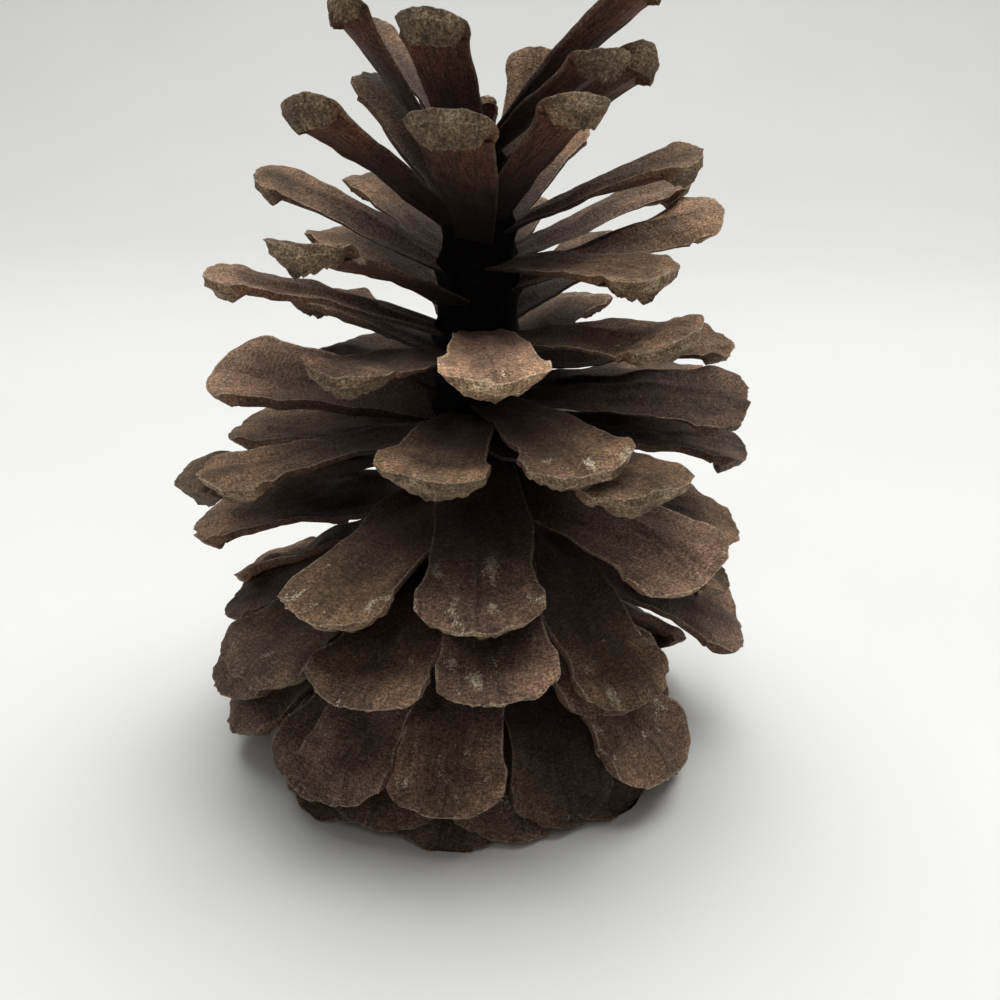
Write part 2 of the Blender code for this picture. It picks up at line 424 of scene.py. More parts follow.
def along_curve(points, place):
    """The height of a smooth curve through the points, at this place along it."""
    xs = [point[0] for point in points]
    ys = [point[1] for point in points]
    place = held(place, xs[0], xs[-1])
    index = max(i for i in range(len(xs) - 1) if xs[i] <= place)
    slopes = []
    for i in (index, index + 1):
        low = max(i - 1, 0)
        high = min(i + 1, len(xs) - 1)
        slopes.append((ys[high] - ys[low]) / (xs[high] - xs[low]))
    step = xs[index + 1] - xs[index]
    t = (place - xs[index]) / step
    rise = ys[index + 1] - ys[index]
    start = slopes[0] * step
    end = slopes[1] * step
    return ys[index] + t * start + t * t * (3 * rise - 2 * start - end) + t**3 * (start + end - 2 * rise)


def wavering(seed, values, pitch):
    """A smooth random line, read at the values."""
    return np.array([noise.noise(Vector((value / pitch, seed, 0.5))) for value in values])


def waves(shape, table, across):
    """Smooth random lines of several pitches, each at its strength."""
    return [strength * wavering(shape.seed + step, across, pitch) for step, pitch, strength in table]


def growth_at(height):
    """Tilt, length and width of the scale whose root is at this height."""
    if height <= GROWTH[0][0]:
        return GROWTH[0][1:]
    for low, high in zip(GROWTH, GROWTH[1:]):
        if height <= high[0]:
            share = (height - low[0]) / (high[0] - low[0])
            return tuple(between(pair, share) for pair in zip(low[1:], high[1:]))
    return GROWTH[-1][1:]


def spiral():
    """Each scale's number and placing, from the base up."""
    draw = random.Random(JITTER_SEED)
    settled = {number for numbers in SWUNG.values() for number in numbers}
    scales = []
    for number in range(-BASAL_SCALES, SPIRAL_SCALES + TERMINAL_SCALES):
        share = number / (SPIRAL_SCALES - 1)
        rise = EVEN_SHARE_OF_RISE * share + (1 - EVEN_SHARE_OF_RISE) * share * abs(share)
        height = LOWEST_ROOT + ROOT_RISE * rise
        tilt, length, width = growth_at(height)
        freedom = 0.0 if number in settled else 1.0
        turn = FIRST_TURN - GOLDEN_ANGLE * number
        turn += freedom * draw.uniform(-TURN_JITTER, TURN_JITTER) + stray(SWUNG, number, 0.0)
        tilt += freedom * draw.uniform(-TILT_JITTER, TILT_JITTER) + stray(TILTED, number, 0.0)
        roll = draw.uniform(-ROLL_JITTER, ROLL_JITTER) + stray(ROLLED, number, 0.0)
        length *= 1 + freedom * draw.uniform(-LENGTH_JITTER, LENGTH_JITTER)
        length *= stray(LENGTHENED, number, 1.0)
        width *= stray(NARROWED, number, 1.0)
        height += stray(RAISED, number, 0.0)
        reach_to_surface = math.asin(min((height + PRESSED) / length, 1.0))
        tilt = max(tilt, -math.degrees(reach_to_surface))
        radius = ROOT_RADIUS if number < SPIRAL_SCALES else TERMINAL_RADIUS
        if number not in BROKEN_OFF:
            scales.append((number, turn, height, radius, tilt, roll, length, width))
    return scales


def sinking(tilt):
    """How far a scale runs on inwards from its root to reach deep into the axis."""
    return min((ROOT_RADIUS - SUNK_TO_RADIUS) / math.cos(math.radians(tilt)), DEEPEST_SINKING)


def scale_matrix(turn, height, radius, tilt, roll):
    """Places a scale: its tip points outwards at this turn, tilted up or down."""
    place = Matrix.Translation((AXIS_X, AXIS_Y, height))
    swing = Matrix.Rotation(math.radians(turn + 180), 4, "Z")
    out = Matrix.Translation((0, radius, 0))
    lift = Matrix.Rotation(math.radians(tilt), 4, "X")
    twist = Matrix.Rotation(math.radians(roll), 4, "Y")
    return place @ swing @ out @ lift @ twist


class Shape:
    """What is particular to one scale."""

    def __init__(self, number, length, width, tilt):
        draw = random.Random(SHAPE_SEED + number)
        self.seed = number * SEED_STEP
        self.length = length
        self.half = width / 2
        self.stout = width / FULL_WIDTH
        self.lip_stout = self.stout if width < SMALL_WIDTH else (1 + self.stout) / 2
        self.broad = held((ALL_PLAIN - number) / (ALL_PLAIN - ALL_BROAD))
        self.pinched = held((number - ALL_PLAIN) / (ALL_PINCHED - ALL_PLAIN))
        self.sunk = sinking(tilt)
        self.ear = length - EAR_SETBACK * self.half
        self.fold = stray(FOLDED, number, draw.uniform(*FOLD_DRAW) * FOLD_JITTER) * self.stout
        self.fold_place = draw.uniform(-FOLD_ASIDE, FOLD_ASIDE)
        self.ridge = stray(RIDGED, number, draw.uniform(0.0, LOW_RIDGE)) * self.stout
        self.twist = math.radians(draw.uniform(-TWIST_JITTER, TWIST_JITTER))
        self.bend = draw.uniform(-BEND_JITTER, BEND_JITTER)
        self.tone = stray(TONE_AND_PAINTED_LIGHT, number, draw.uniform(*TONE_DRAW))
        self.tone *= between((LOWEST_TONE_AND_SHADE, 1.0), held(number / LOW_SCALES))
        self.warmth = draw.uniform(-WARMTH_JITTER, WARMTH_JITTER)
        self.dust = stray(DUSTY, number, draw.uniform(0.0, MOST_DUSTY))
        usual = held(MOST_HIDDEN - LESS_HIDDEN_PER_SCALE * number, LEAST_HIDDEN, MOST_HIDDEN)
        self.hidden = stray(HIDDEN, number, usual)
        self.jag = draw.uniform(*JAG_DRAW) * JAG * self.lip_stout * (1 + BROAD_JAG * self.broad)
        self.uneven = draw.uniform(-TIP_UNEVEN, TIP_UNEVEN)
        self.tip_depth = TIP_DEPTH * (1 + draw.uniform(-TIP_DEPTH_JITTER, TIP_DEPTH_JITTER))
        self.squareness = draw.uniform(*SQUARE_DRAW)


def upper_relief(shape, across, station):
    """Rise and fall of the upper face: folded to a valley or a roof, and two seed imprints."""
    present = smooth_step(station, *FOLD_START)
    from_fold = np.sqrt((across - shape.fold_place) ** 2 + FOLD_SOFTNESS)
    folded = shape.fold * (from_fold - FOLD_LEVEL)
    off_ridge = np.abs(across - shape.fold_place) / RIDGE_HALF_WIDTH
    ridge = shape.ridge * np.maximum(1 - off_ridge, 0) * (1 - smooth_step(station, *RIDGE_END))
    imprint = bell(np.abs(across), IMPRINT_ASIDE, IMPRINT_WIDTH)
    imprint = IMPRINT_DEPTH * shape.stout * imprint * bell(station, IMPRINT_ALONG, IMPRINT_LENGTH)
    return present * (folded + ridge) - imprint


def side_noise(shape, share, end):
    """How far one side edge strays, from about -1 to 1."""
    strays = 0.0
    for step, number, strength in SIDE_WAVES:
        strays += strength * noise.noise(Vector((share * number, end * 3, shape.seed + step)))
    return strays


def body_rows(shape, share, across):
    """The upper and the lower line across the body, this share of the way to the ears."""
    along = share * (shape.ear + shape.sunk) - shape.sunk
    station = (along + shape.sunk) / (shape.length + shape.sunk)
    spread = between((along_curve(TAPERED, share), along_curve(PARALLEL, share)), shape.broad)
    strength = SIDE_WAVER * bell(share, WAVER_PLACE, WAVER_REACH)
    waver = [strength * side_noise(shape, share, end) for end in (-1, 1)]
    side = spread * shape.half
    arch = ARCH * shape.length * 4 * station * (1 - station)
    thick = along_curve(THICKNESS, station) * shape.stout
    lift = CUP * side * station
    out = across * side * (1 + np.where(across < 0, waver[0], waver[1]) * np.abs(across))
    thinning = EDGE_THINNING * between((np.abs(across), across**2), ROUND_THINNING)
    upper = np.empty((POINTS_ACROSS, 3))
    upper[:, 0] = out
    upper[:, 1] = along
    upper[:, 2] = arch + lift * across**2 + upper_relief(shape, across, station)
    lower = np.empty((POINTS_ACROSS, 3))
    lower[:, 0] = out * WIDTH_BENEATH
    lower[:, 1] = along
    lower[:, 2] = arch - thick * (1 - thinning)
    return upper, lower


def tip_line(shape, across):
    """The tip's edge, from ear to ear, a little jagged and lower on one side."""
    sweep = np.radians(TIP_SWEEP * across)
    line = np.empty((POINTS_ACROSS, 3))
    line[:, 0] = shape.half * np.sin(sweep) / math.sin(math.radians(TIP_SWEEP))
    round_off = (1 - np.cos(sweep)) / (1 - math.cos(math.radians(TIP_SWEEP)))
    line[:, 1] = shape.length - shape.tip_depth * shape.half * round_off**shape.squareness
    line[:, 1] -= shape.jag * sum(np.abs(wave) for wave in waves(shape, TIP_WAVES, across))
    lower_side = np.maximum(across * np.sign(shape.uneven), 0)
    line[:, 1] -= abs(shape.uneven) * shape.half * lower_side**2
    line[:, 2] = CUP * shape.half * across**2 + TIP_RELIEF * upper_relief(shape, across, 1.0)
    return line


def lip_line(shape, across):
    """The lower edge of the outer face."""
    line = np.empty((POINTS_ACROSS, 3))
    line[:, 0] = across * shape.half * between(LIP_WIDTH, shape.pinched)
    line[:, 1] = shape.length - LIP_SETBACK * shape.lip_stout - LIP_BOW * shape.half * across**2
    fade = between(LIP_FADE, shape.pinched) * np.abs(across) ** LIP_FADE_CURVE
    depth = LIP_THICKNESS * shape.lip_stout * (1 - fade)
    depth += shape.jag * sum(waves(shape, LIP_WAVES, across)) * (1 - LIP_JAG_LOSS * shape.broad)
    depth += PRICKLE * shape.stout * bell(across, 0.0, PRICKLE_WIDTH)
    line[:, 2] = -np.maximum(depth, LEAST_LIP)
    return line


def head_rows(shape, share, across):
    """The upper and the lower line across the head, this share of the way to the tip."""
    ear_upper, ear_lower = body_rows(shape, 1.0, across)
    tip = tip_line(shape, across)
    upper = ear_upper + share * (tip - ear_upper)
    upper[:, 2] += HEAD_SWELL * shape.stout * math.sin(math.pi * share)
    lip = lip_line(shape, across)
    foot = lip.copy()
    foot[:, 1] -= LIP_STEP * shape.stout
    foot[:, 2] = ear_lower[:, 2] + FOOT_RISE * shape.stout
    if share <= LIP_START:
        lower = ear_lower + share / LIP_START * (foot - ear_lower)
    else:
        climb = (share - LIP_START) / (1 - LIP_START)
        lower = foot + climb * (lip - foot)
        lower[:, 2] = foot[:, 2] + climb**LIP_CURVE * (lip[:, 2] - foot[:, 2])
    return upper, lower


def ring_of(shape, upper, lower):
    """Upper line, right side edge, lower line backwards, left side edge."""
    shares = np.arange(1, CELLS_DOWN) / CELLS_DOWN
    bulge = SIDE_BULGE * shape.stout * np.sin(np.pi * shares)
    right = upper[-1] + shares[:, None] * (lower[-1] - upper[-1])
    left = lower[0] + shares[:, None] * (upper[0] - lower[0])
    right[:, 0] += bulge
    left[:, 0] -= bulge
    return np.concatenate([upper, right, lower[::-1], left])


def outer_face(shape, across, ring):
    """The points inside the outer face, in rows from the tip's edge down to the lip."""
    upper = ring[:POINTS_ACROSS]
    lower = ring[FIRST_BENEATH : LAST_BENEATH + 1][::-1]
    rows = []
    for row in range(1, CELLS_DOWN):
        share = row / CELLS_DOWN
        line = upper + share * (lower - upper)
        swell = OUTER_FACE_SWELL * math.sin(math.pi * share)
        swell += KEEL_HEIGHT * peak(share, KEEL_PLACE, KEEL_REACH)
        push = swell * (1 - across**6) * (1 - BROAD_FLATNESS * shape.broad)
        umbo = bell(across, 0.0, UMBO_WIDTH) * bell(share, UMBO_PLACE, UMBO_LENGTH)
        push = OUTER_FACE_SLOPE * (push + UMBO_HEIGHT * umbo) * shape.stout
        line[:, 1] += push
        line[:, 2] -= push
        rough = wavering(shape.seed + FACE_WAVES_STEP + row, across, FACE_PITCH)
        line[:, 1] += FACE_JAG * shape.jag * rough
        rows.append(line[1:-1])
    return np.concatenate(rows)


def scale_points(shape):
    """All points of one scale in its own frame, with what the wood's colours need."""
    across = np.linspace(-1.0, 1.0, POINTS_ACROSS)
    rings = []
    for index in range(BODY_RINGS + 1):
        upper, lower = body_rows(shape, index / BODY_RINGS, across)
        rings.append(ring_of(shape, upper, lower))
    for share in HEAD_STEPS:
        upper, lower = head_rows(shape, share, across)
        rings.append(ring_of(shape, upper, lower))
    points = np.concatenate(rings + [outer_face(shape, across, rings[-1])])
    return points, colour_weights(across)


def colour_weights(across):
    """For each point of a scale: on the outer face, on the underside, at an edge that takes a painted
    highlight.
    """
    beneath = np.zeros(POINTS_AROUND)
    beneath[POINTS_ACROSS:FIRST_BENEATH] = SIDE_BENEATH
    beneath[FIRST_BENEATH : LAST_BENEATH + 1] = 1.0
    beneath[LAST_BENEATH + 1 :] = SIDE_BENEATH
    edge = np.zeros(POINTS_AROUND)
    edge[[0, POINTS_ACROSS - 1]] = 1.0
    edge[[1, POINTS_ACROSS - 2]] = RIM_BESIDE
    ring = np.stack([np.zeros(POINTS_AROUND), beneath, edge], axis=1)
    before_tip = ring.copy()
    before_tip[:POINTS_ACROSS, 2] = RIM_BEFORE_TIP
    tip = ring.copy()
    tip[:POINTS_ACROSS] = (0.5, 0.0, 1.0)
    tip[POINTS_ACROSS:, 0] = 1.0
    tip[POINTS_ACROSS:, 1] = 0.0
    face = np.concatenate([face_marks(row / CELLS_DOWN, across[1:-1]) for row in range(1, CELLS_DOWN)])
    return np.concatenate([ring] * (RINGS - 2) + [before_tip, tip, face])


def face_marks(share, across):
    """The weights along one row of the outer face: up to 2 at the umbo, pale at the keel."""
    marks = np.zeros((len(across), 3))
    marks[:, 0] = 1.0 + bell(across, 0.0, UMBO_MARK_WIDTH) * bell(share, UMBO_PLACE, UMBO_MARK_LENGTH)
    marks[:, 2] = KEEL_PALENESS * peak(share, KEEL_PLACE, KEEL_LINE)
    return marks


def scale_faces():
    """Faces of one scale as quads over its rings, with both ends closed."""
    faces = []
    for ring in range(RINGS - 1):
        near = ring * POINTS_AROUND
        far = near + POINTS_AROUND
        for index in range(POINTS_AROUND):
            after = (index + 1) % POINTS_AROUND
            faces.append((near + after, near + index, far + index, far + after))
    faces.append(tuple(range(POINTS_AROUND)))
    last = (RINGS - 1) * POINTS_AROUND
    inner = RINGS * POINTS_AROUND
    grid = [[last + index for index in range(POINTS_ACROSS)]]
    for row in range(1, CELLS_DOWN):
        start = inner + (row - 1) * (POINTS_ACROSS - 2)
        line = [last + POINTS_AROUND - row]
        line += [start + index for index in range(POINTS_ACROSS - 2)]
        line.append(last + POINTS_ACROSS - 1 + row)
        grid.append(line)
    grid.append([last + LAST_BENEATH - index for index in range(POINTS_ACROSS)])
    for upper, lower in zip(grid, grid[1:]):
        for index in range(CELLS_ACROSS):
            faces.append((upper[index + 1], upper[index], lower[index], lower[index + 1]))
    return faces


def warp(shape, points):
    """Twists and bends a scale a little, and makes its faces uneven."""
    share = np.clip((points[:, 1] + shape.sunk) / (shape.length + shape.sunk), 0, 1)
    angle = shape.twist * (share - TWIST_CENTRE)
    x = points[:, 0] * np.cos(angle) - points[:, 2] * np.sin(angle)
    z = points[:, 0] * np.sin(angle) + points[:, 2] * np.cos(angle)
    points[:, 0] = x + shape.bend * np.sin(np.pi * share)
    points[:, 2] = z
    freedom = smooth_step(share, *WARP_START) * WARP * shape.stout
    for index, point in enumerate(points):
        for step, number_across, number_along, strength in WARP_WAVES:
            place = Vector((point[0] * number_across, point[1] * number_along, shape.seed + step))
            points[index, 2] += strength * freedom[index] * noise.noise(place)
    return points


def columns(first, second, third):
    """One row for each point, where a value that all of them share is repeated."""
    return np.stack(np.broadcast_arrays(first, second, third), axis=1)


def add_mesh(name, points, faces, material):
    """A smooth mesh of one material, put in the scene."""
    mesh = bpy.data.meshes.new(name)
    mesh.from_pydata(points, [], faces)
    mesh.update()
    mesh.shade_smooth()
    mesh.materials.append(material)
    item = bpy.data.objects.new(name, mesh)
    bpy.context.scene.collection.objects.link(item)
    return item


def tier(name, first, last, material):
    """The scales from the first number up to the last, as one piece."""
    pattern = scale_faces()
    points = []
    faces = []
    values = {"grain": [], "zones": [], "traits": [], "marks": []}
    start = 0
    for number, turn, height, radius, tilt, roll, length, width in spiral():
        if not first <= number < last:
            continue
        shape = Shape(number, length, width, tilt)
        own, zones = scale_points(shape)
        values["grain"].append(own + np.array((GRAIN_STEP * number, 0.0, 0.0)))
        values["zones"].append(zones)
        own = warp(shape, own)
        matrix = np.array(scale_matrix(turn, height, radius, tilt, roll))
        placed = own @ matrix[:3, :3].T + matrix[:3, 3]
        placed[:, 2] = np.maximum(placed[:, 2], 0.0)
        points.append(placed)
        warmth = held(WARMER_UPWARDS * number / SPIRAL_SCALES + shape.warmth)
        reach = np.clip(own[:, 1] / length, 0, 1)
        across = np.clip(0.5 + 0.5 * own[:, 0] / shape.half, 0, 1)
        # How far past the darkened share next to its root a point lies, from 0 to 1: that share is
        # painted deep red to black, partly the wood's own colour and partly painted shade
        exposed = np.clip((reach - shape.hidden) / (1 - shape.hidden), 0, 1)
        values["traits"].append(columns(shape.tone, warmth, reach))
        values["marks"].append(columns(shape.dust, across, exposed))
        faces += [tuple(start + index for index in face) for face in pattern]
        start += len(own)
    piece = add_mesh(name, np.concatenate(points).tolist(), faces, material)
    piece.data.set_sharp_from_angle(angle=math.radians(SHARP_ANGLE))
    for label, rows in values.items():
        attribute = piece.data.attributes.new(label, "FLOAT_VECTOR", "POINT")
        attribute.data.foreach_set("vector", np.concatenate(rows).astype(np.float32).ravel())
    return piece


def cushion(angle, height, roots):
    """How far the axis swells at this place, under the nearest scale's root."""
    aside = (np.degrees(angle) - roots[:, 0] + 180) % 360 - 180
    swell = bell(aside, 0.0, CUSHION_TURN) * bell(height, roots[:, 1], CUSHION_RISE)
    return CUSHION_SWELL * swell.max()


def axis(material):
    """The woody axis between the scales, and the stub of the stalk under the base."""
    full = [scale for scale in spiral() if scale[0] >= 0]
    roots = np.array([(turn - 90, height - CUSHION_DROP) for _, turn, height, *_ in full])
    points = []
    faces = []
    low = AXIS_PROFILE[0][0]
    high = AXIS_PROFILE[-1][0]
    for row in range(AXIS_ROWS + 1):
        height = low + (high - low) * row / AXIS_ROWS
        radius = along_curve(AXIS_PROFILE, height)
        for side in range(AXIS_SIDES):
            angle = 2 * math.pi * side / AXIS_SIDES
            x = math.cos(angle)
            y = math.sin(angle)
            place = Vector((AXIS_BUMPS_ROUND * x, AXIS_BUMPS_ROUND * y, AXIS_BUMPS_UP * height))
            rough = noise.noise(place)
            out = radius * (1 + AXIS_ROUGHNESS * rough) + cushion(angle, height, roots)
            points.append((AXIS_X + out * x, AXIS_Y + out * y, height))
    for row in range(AXIS_ROWS):
        near = row * AXIS_SIDES
        far = near + AXIS_SIDES
        for side in range(AXIS_SIDES):
            after = (side + 1) % AXIS_SIDES
            faces.append((near + side, near + after, far + after, far + side))
    faces.append(tuple(reversed(range(AXIS_SIDES))))
    faces.append(tuple(range(AXIS_ROWS * AXIS_SIDES, (AXIS_ROWS + 1) * AXIS_SIDES)))
    piece = add_mesh("axis", points, faces, material)
    piece.data.set_sharp_from_angle(angle=math.radians(SHARP_ANGLE))
    return piece


class Nodes:
    """Short names for what the materials are put together from."""

    def __init__(self, name):
        self.material = bpy.data.materials.new(name)
        self.material.use_nodes = True
        self.tree = self.material.node_tree
        self.shader = self.tree.nodes["Principled BSDF"]

    def put(self, socket, value):
        """Links a socket to this one, or sets its constant."""
        if isinstance(value, bpy.types.NodeSocket):
            self.tree.links.new(value, socket)
        elif socket.type == "RGBA":
            socket.default_value = (*value, 1.0)
        else:
            socket.default_value = value

    def attribute(self, name):
        node = self.tree.nodes.new("ShaderNodeAttribute")
        node.attribute_name = name
        return node.outputs["Vector"]

    def object_coordinates(self):
        return self.tree.nodes.new("ShaderNodeTexCoord").outputs["Object"]

    def split(self, vector):
        node = self.tree.nodes.new("ShaderNodeSeparateXYZ")
        self.put(node.inputs[0], vector)
        return node.outputs[0], node.outputs[1], node.outputs[2]

    def math(self, operation, first, second=0.0):
        node = self.tree.nodes.new("ShaderNodeMath")
        node.operation = operation
        self.put(node.inputs[0], first)
        self.put(node.inputs[1], second)
        return node.outputs[0]

    def off_from(self, value, middle):
        """How far the value is from the middle, to either side."""
        return self.math("ABSOLUTE", self.math("SUBTRACT", value, middle))

    def stretch(self, vector, factors):
        node = self.tree.nodes.new("ShaderNodeVectorMath")
        node.operation = "MULTIPLY"
        self.put(node.inputs[0], vector)
        node.inputs[1].default_value = factors
        return node.outputs[0]

    def noise(self, vector, scale, detail, rough, distortion=0.0):
        node = self.tree.nodes.new("ShaderNodeTexNoise")
        self.put(node.inputs["Vector"], vector)
        node.inputs["Scale"].default_value = scale
        node.inputs["Detail"].default_value = detail
        node.inputs["Roughness"].default_value = rough
        node.inputs["Distortion"].default_value = distortion
        return node.outputs["Fac"]

    def span(self, value, low, high, to_low=0.0, to_high=1.0):
        """The value between low and high, carried smoothly over to the other two."""
        node = self.tree.nodes.new("ShaderNodeMapRange")
        node.interpolation_type = "SMOOTHSTEP"
        self.put(node.inputs["Value"], value)
        node.inputs["From Min"].default_value = low
        node.inputs["From Max"].default_value = high
        node.inputs["To Min"].default_value = to_low
        node.inputs["To Max"].default_value = to_high
        return node.outputs["Result"]

    def mix(self, factor, first, second):
        node = self.tree.nodes.new("ShaderNodeMix")
        node.data_type = "RGBA"
        colours = [socket for socket in node.inputs if socket.type == "RGBA"]
        self.put(node.inputs["Factor"], factor)
        self.put(colours[0], first)
        self.put(colours[1], second)
        return [socket for socket in node.outputs if socket.type == "RGBA"][0]

    def shade(self, colour, amount):
        """The colour made brighter or darker by a factor."""
        node = self.tree.nodes.new("ShaderNodeVectorMath")
        node.operation = "SCALE"
        self.put(node.inputs[0], colour)
        self.put(node.inputs["Scale"], amount)
        return node.outputs[0]

    def bump(self, height, strength, distance, normal=None):
        node = self.tree.nodes.new("ShaderNodeBump")
        node.inputs["Strength"].default_value = strength
        node.inputs["Distance"].default_value = distance
        self.put(node.inputs["Height"], height)
        if normal is not None:
            self.put(node.inputs["Normal"], normal)
        return node.outputs["Normal"]


def scale_wood():
    """Dry wood of the scales: matt and speckled above, fibrous beneath, tan at the ends."""
    nodes = Nodes("scale_wood")
    grain = nodes.attribute("grain")
    outer, under, edge = nodes.split(nodes.attribute("zones"))
    tone, warmth, reach = nodes.split(nodes.attribute("traits"))
    dust, across, exposed = nodes.split(nodes.attribute("marks"))

    # Textures, from the finest to the broadest, then those drawn out one way
    speckle = nodes.noise(grain, 2400.0, 4.0, 0.75)
    grit = nodes.noise(grain, 1700.0, 3.0, 0.7)
    mottle = nodes.noise(grain, 260.0, 4.0, 0.6)
    blotch = nodes.noise(grain, 70.0, 3.0, 0.5)
    wrinkle = nodes.noise(nodes.stretch(grain, (650.0, 2200.0, 650.0)), 1.0, 4.0, 0.65, 0.6)
    groove = nodes.noise(nodes.stretch(grain, (900.0, 45.0, 300.0)), 1.0, 3.0, 0.6)
    fibre = nodes.noise(nodes.stretch(grain, (2600.0, 90.0, 2600.0)), 1.0, 4.0, 0.65)
    stripe = nodes.noise(nodes.stretch(grain, (1700.0, 130.0, 200.0)), 1.0, 3.0, 0.6)

    # The upper face, with painted shade as a dark line in the crease along its middle and as a broad
    # darker trough of its cupped form, painted light on its raised sides, and deep red towards the root,
    # partly its own colour and partly painted shade
    upper = nodes.mix(warmth, UPPER_COOL, UPPER_WARM)
    upper = nodes.shade(upper, nodes.span(blotch, 0.32, 0.68, 0.66, 1.26))
    upper = nodes.shade(upper, nodes.span(mottle, 0.32, 0.68, 0.78, 1.20))
    # Painted shade in the hollows of the wrinkles and painted light on their crests, following the same
    # noise that the bump raises and sinks
    upper = nodes.shade(upper, nodes.span(wrinkle, 0.32, 0.68, 0.72, 1.24))
    upper = nodes.shade(upper, nodes.span(groove, 0.3, 0.6, 0.80, 1.08))
    # Painted shade: the thin dark line stands for the crease along the middle, the broad darker band for
    # the trough of the cupped face, whose raised sides are painted lighter
    off_middle = nodes.off_from(across, nodes.span(blotch, 0.0, 1.0, 0.40, 0.60))
    upper = nodes.shade(upper, nodes.span(off_middle, 0.0, 0.022, 0.66, 1.0))
    upper = nodes.shade(upper, nodes.span(off_middle, 0.05, 0.34, 0.78, 1.16))
    # Towards the root the upper face fades to deep red and black: partly the wood's own colour, partly
    # painted shade from the scales above, with painted shade in the wrinkles too
    deep_and_shade = nodes.shade(DEEP_RED_AND_SHADE, nodes.span(wrinkle, 0.3, 0.7, 0.75, 1.25))
    upper = nodes.mix(nodes.span(exposed, 0.0, 0.95), deep_and_shade, nodes.shade(upper, 1.16))

    # The fibrous underside, darkening to black towards the root: partly the wood's own colour, partly
    # painted shade
    beneath = nodes.shade(UNDER_RED, nodes.span(fibre, 0.32, 0.68, 0.40, 1.75))
    beneath = nodes.shade(beneath, nodes.span(blotch, 0.3, 0.7, 0.75, 1.3))
    # Painted shade, together with the wood's own darker colour, deepens towards the root
    beneath = nodes.shade(beneath, nodes.span(reach, 0.10, 0.90, 0.14, 1.15))

    # The tan outer face, darker at the umbo
    face = nodes.mix(nodes.span(mottle, 0.35, 0.65), OUTER_BROWN, OUTER_TAN)
    face = nodes.shade(face, nodes.span(stripe, 0.3, 0.7, 0.80, 1.16))
    face = nodes.shade(face, nodes.span(grit, 0.3, 0.6, 0.72, 1.10))
    face = nodes.shade(face, nodes.span(outer, 1.2, 1.9, 1.0, 0.50))

    # All three together, with a painted highlight along the rims, and pale worn edges
    colour = nodes.mix(nodes.span(under, 0.35, 0.85), upper, beneath)
    colour = nodes.mix(nodes.span(outer, 0.45, 0.75), colour, face)
    # Painted highlight along the rims and tip, with the same pale at the keel, weaker where the scale
    # darkens towards its root
    pale = nodes.math("MULTIPLY", nodes.span(edge, 0.40, 0.95), nodes.span(mottle, 0.35, 0.6, 0.50, 1.0))
    pale = nodes.math("MULTIPLY", pale, nodes.span(exposed, 0.0, 0.6, 0.25, 1.0))
    colour = nodes.mix(pale, colour, RIM_HIGHLIGHT_AND_WEAR)
    aside = nodes.math("MULTIPLY", nodes.off_from(across, 0.5), 2.0)
    outward = nodes.math("MULTIPLY", nodes.math("MAXIMUM", aside, reach), exposed)
    thin = nodes.span(mottle, 0.52, 0.66, 0.0, 0.5)
    worn = nodes.math("MULTIPLY", nodes.span(outward, 0.82, 1.0), thin)
    colour = nodes.mix(worn, colour, RIM_HIGHLIGHT_AND_WEAR)

    # Flecks of dust in patches near the end
    patch = nodes.noise(nodes.stretch(grain, (300.0, 170.0, 300.0)), 1.0, 2.0, 0.5)
    patch = nodes.math("ADD", patch, nodes.span(dust, 0.0, 1.0, -0.12, 0.05))
    fleck = nodes.noise(nodes.stretch(grain, (3000.0, 2000.0, 3000.0)), 1.0, 3.0, 0.7)
    patch = nodes.math("ADD", patch, nodes.math("MULTIPLY", fleck, 0.6))
    dusty = nodes.math("MULTIPLY", nodes.span(patch, 1.0, 1.04), nodes.span(reach, 0.55, 0.85))
    colour = nodes.mix(nodes.math("MULTIPLY", dusty, 0.85), colour, DUST_PALE)

    # Speckles and grit over everything, and how pale the whole scale is: partly its own tone, partly
    # painted light and shade
    colour = nodes.shade(colour, nodes.span(speckle, 0.35, 0.65, 0.50, 1.62))
    colour = nodes.shade(colour, nodes.span(grit, 0.35, 0.65, 0.68, 1.38))
    colour = nodes.shade(colour, tone)
    nodes.put(nodes.shader.inputs["Base Color"], colour)
    nodes.put(nodes.shader.inputs["Roughness"], nodes.span(mottle, 0.3, 0.7, 0.62, 0.85))
    nodes.shader.inputs["Specular IOR Level"].default_value = 0.35

    # Fine relief, as strength and height in metres
    normal = nodes.bump(wrinkle, 1.0, 0.0009)
    normal = nodes.bump(groove, 0.6, 0.0006, normal)
    normal = nodes.bump(grit, 0.9, 0.0004, normal)
    normal = nodes.bump(speckle, 0.7, 0.0002, normal)
    nodes.put(nodes.shader.inputs["Normal"], normal)
    return nodes.material


def axis_wood():
    """Rough wood at the heart of the cone, near black: partly its own dark colour, partly painted shade
    deep among the scales.
    """
    nodes = Nodes("axis_wood")
    coordinates = nodes.object_coordinates()
    mottle = nodes.noise(coordinates, 500.0, 4.0, 0.65)
    fibre = nodes.noise(nodes.stretch(coordinates, (1800.0, 1800.0, 200.0)), 1.0, 4.0, 0.6)
    colour = nodes.shade(CORE_BLACK_AND_SHADE, nodes.span(mottle, 0.3, 0.7, 0.25, 1.1))
    nodes.put(nodes.shader.inputs["Base Color"], colour)
    nodes.shader.inputs["Roughness"].default_value = 0.9
    nodes.shader.inputs["Specular IOR Level"].default_value = 0.1
    nodes.put(nodes.shader.inputs["Normal"], nodes.bump(fibre, 0.5, 0.0003))
    return nodes.material


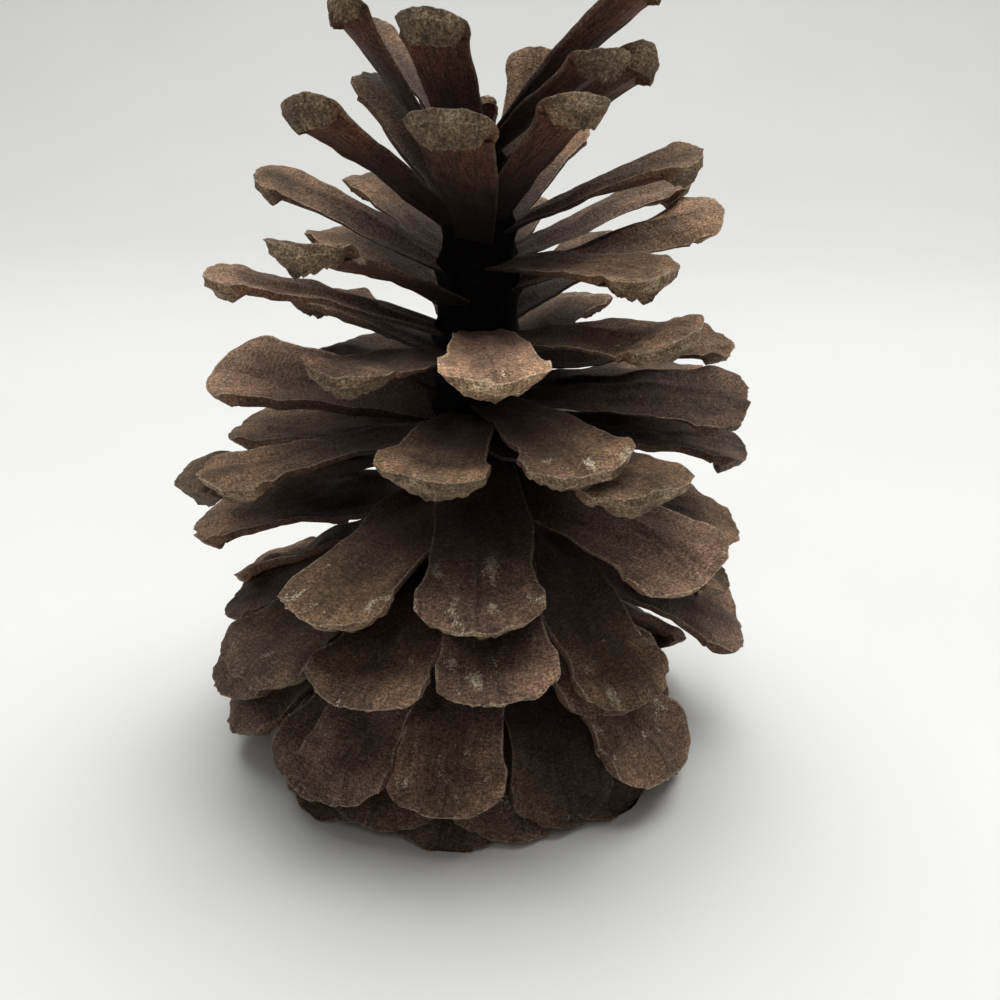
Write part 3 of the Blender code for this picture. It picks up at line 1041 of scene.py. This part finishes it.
def surface_pale():
    """Pale, matt, faintly uneven grey, with painted shade that darkens it towards the back and up the
    wall.
    """
    nodes = Nodes("surface_pale")
    coordinates = nodes.object_coordinates()
    haze = nodes.noise(coordinates, 6.0, 3.0, 0.5)
    far_off = nodes.split(coordinates)[1]
    colour = nodes.shade(SURFACE_GREY, nodes.span(haze, 0.3, 0.7, 0.985, 1.01))
    # Painted shade: darker from the front back past the cone, and darker again further back and up the
    # wall
    colour = nodes.shade(colour, nodes.span(far_off, -0.35, 0.40, 1.0, 0.91))
    colour = nodes.shade(colour, nodes.span(far_off, 0.25, 0.75, 1.0, 0.85))
    nodes.put(nodes.shader.inputs["Base Color"], colour)
    nodes.shader.inputs["Roughness"].default_value = 0.6
    nodes.shader.inputs["Specular IOR Level"].default_value = 0.2
    return nodes.material


def surface():
    """A pale surface that curves up behind into a backdrop."""
    back = SURFACE_PLACES[-1]
    line = [(place, 0.0) for place in SURFACE_PLACES]
    for step in range(1, CURVE_STEPS + 1):
        angle = math.radians(90 * step / CURVE_STEPS)
        line.append((back + SURFACE_CURVE * math.sin(angle), SURFACE_CURVE * (1 - math.cos(angle))))
    line.append((back + SURFACE_CURVE, WALL_HEIGHT))
    points = []
    for x in (-SURFACE_HALF_WIDTH, SURFACE_HALF_WIDTH):
        points += [(x, y, z - SURFACE_DROP) for y, z in line]
    count = len(line)
    faces = [(i, i + count, i + count + 1, i + 1) for i in range(count - 1)]
    add_mesh("surface", points, faces, surface_pale())


def area_light(name, place, aim, size, watts, colour):
    """A round, soft light that points at its aim."""
    light = bpy.data.lights.new(name, "AREA")
    light.shape = "DISK"
    light.size = size
    light.energy = watts
    light.color = colour
    item = bpy.data.objects.new(name, light)
    item.location = place
    item.rotation_mode = "QUATERNION"
    item.rotation_quaternion = (Vector(aim) - Vector(place)).to_track_quat("-Z", "Y")
    bpy.context.scene.collection.objects.link(item)


def room():
    """The faint, even light of the room, and plain colours in the picture."""
    world = bpy.data.worlds.new("room")
    world.use_nodes = True
    background = world.node_tree.nodes["Background"]
    background.inputs["Color"].default_value = ROOM_COLOUR
    background.inputs["Strength"].default_value = ROOM_LIGHT
    bpy.context.scene.world = world
    bpy.context.scene.view_settings.view_transform = "Standard"


def camera():
    """The camera, where the photograph was taken from."""
    optics = bpy.data.cameras.new("camera")
    optics.lens = CAMERA_LENS
    optics.shift_x = CAMERA_SHIFT
    optics.clip_start = CAMERA_NEAREST
    item = bpy.data.objects.new("camera", optics)
    item.location = CAMERA_PLACE
    item.rotation_euler = (math.radians(90 - CAMERA_PITCH), 0, 0)
    bpy.context.scene.collection.objects.link(item)
    bpy.context.scene.camera = item


def pine_cone():
    """The tiers of scales and the axis, which stand for the solid."""
    wood = scale_wood()
    pieces = [tier(name, first, last, wood) for name, first, last in TIERS]
    pieces.append(axis(axis_wood()))
    for piece in pieces:
        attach(piece, "root")
        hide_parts("pine_cone")


pine_cone()
surface()
for light in LIGHTS:
    area_light(*light)
room()
camera()
